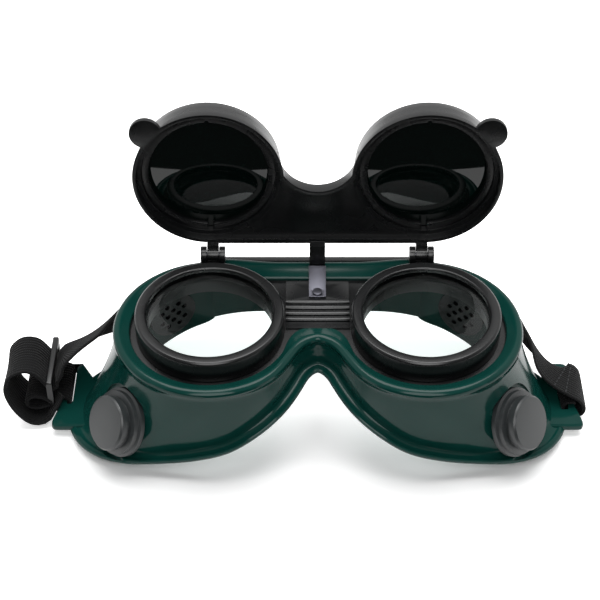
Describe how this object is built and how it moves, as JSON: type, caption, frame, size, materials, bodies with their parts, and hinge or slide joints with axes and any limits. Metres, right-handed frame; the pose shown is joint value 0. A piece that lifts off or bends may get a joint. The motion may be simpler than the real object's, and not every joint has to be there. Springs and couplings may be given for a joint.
{
  "type": "welding goggles",
  "caption": "Soft cup mask with round clear lenses, a hinged lift-up shade front, screened side vents and an elastic head strap.",
  "frame": {"origin": "on the floor plane that the face rim lies on, in the plane of symmetry of the mask, level with the lens axes", "axes": "+X to the strap's sewn end, across the face; +Y to the forehead and hinge side; +Z out through the lenses"},
  "size_m": [0.2214, 0.0999, 0.1103],
  "materials": {
    "soft_body": "glossy moulded",
    "black_plastic": "satin moulded",
    "clear_lens": "polished",
    "shade_lens": "polished",
    "gasket": "matte",
    "strap": "woven",
    "steel": "brushed"
  },
  "bodies": {
    "mask": {"mask_body": "soft_body", "front_frame": "black_plastic", "clear_lens_left": "clear_lens", "clear_lens_right": "clear_lens", "lens_gasket_left": "gasket", "lens_gasket_right": "gasket", "lens_ring_left": "black_plastic", "lens_ring_right": "black_plastic", "vent_cap_lower_left": "black_plastic", "vent_cap_lower_right": "black_plastic", "vent_cap_upper_left": "black_plastic", "vent_cap_upper_right": "black_plastic", "vent_screen_lower_left": "black_plastic", "vent_screen_lower_right": "black_plastic", "vent_screen_upper_left": "black_plastic", "vent_screen_upper_right": "black_plastic", "hinge_pin_left": "steel", "hinge_pin_right": "steel", "detent_spring": "steel", "spring_rivet": "steel", "strap": "strap", "strap_link_left": "strap", "strap_end_right": "strap", "slide_buckle": "black_plastic"},
    "lift_front": {"lift_frame": "black_plastic", "shade_lens_left": "shade_lens", "shade_lens_right": "shade_lens", "shade_clip_left": "black_plastic", "shade_clip_right": "black_plastic"}
  },
  "joints": [
    {"name": "lift_hinge", "type": "hinge", "parent": "mask", "child": "lift_front", "pos_m": [0, 0.0333, 0.04875], "axis": [1, 0, 0], "range_deg": [0, 95]}
  ]
}
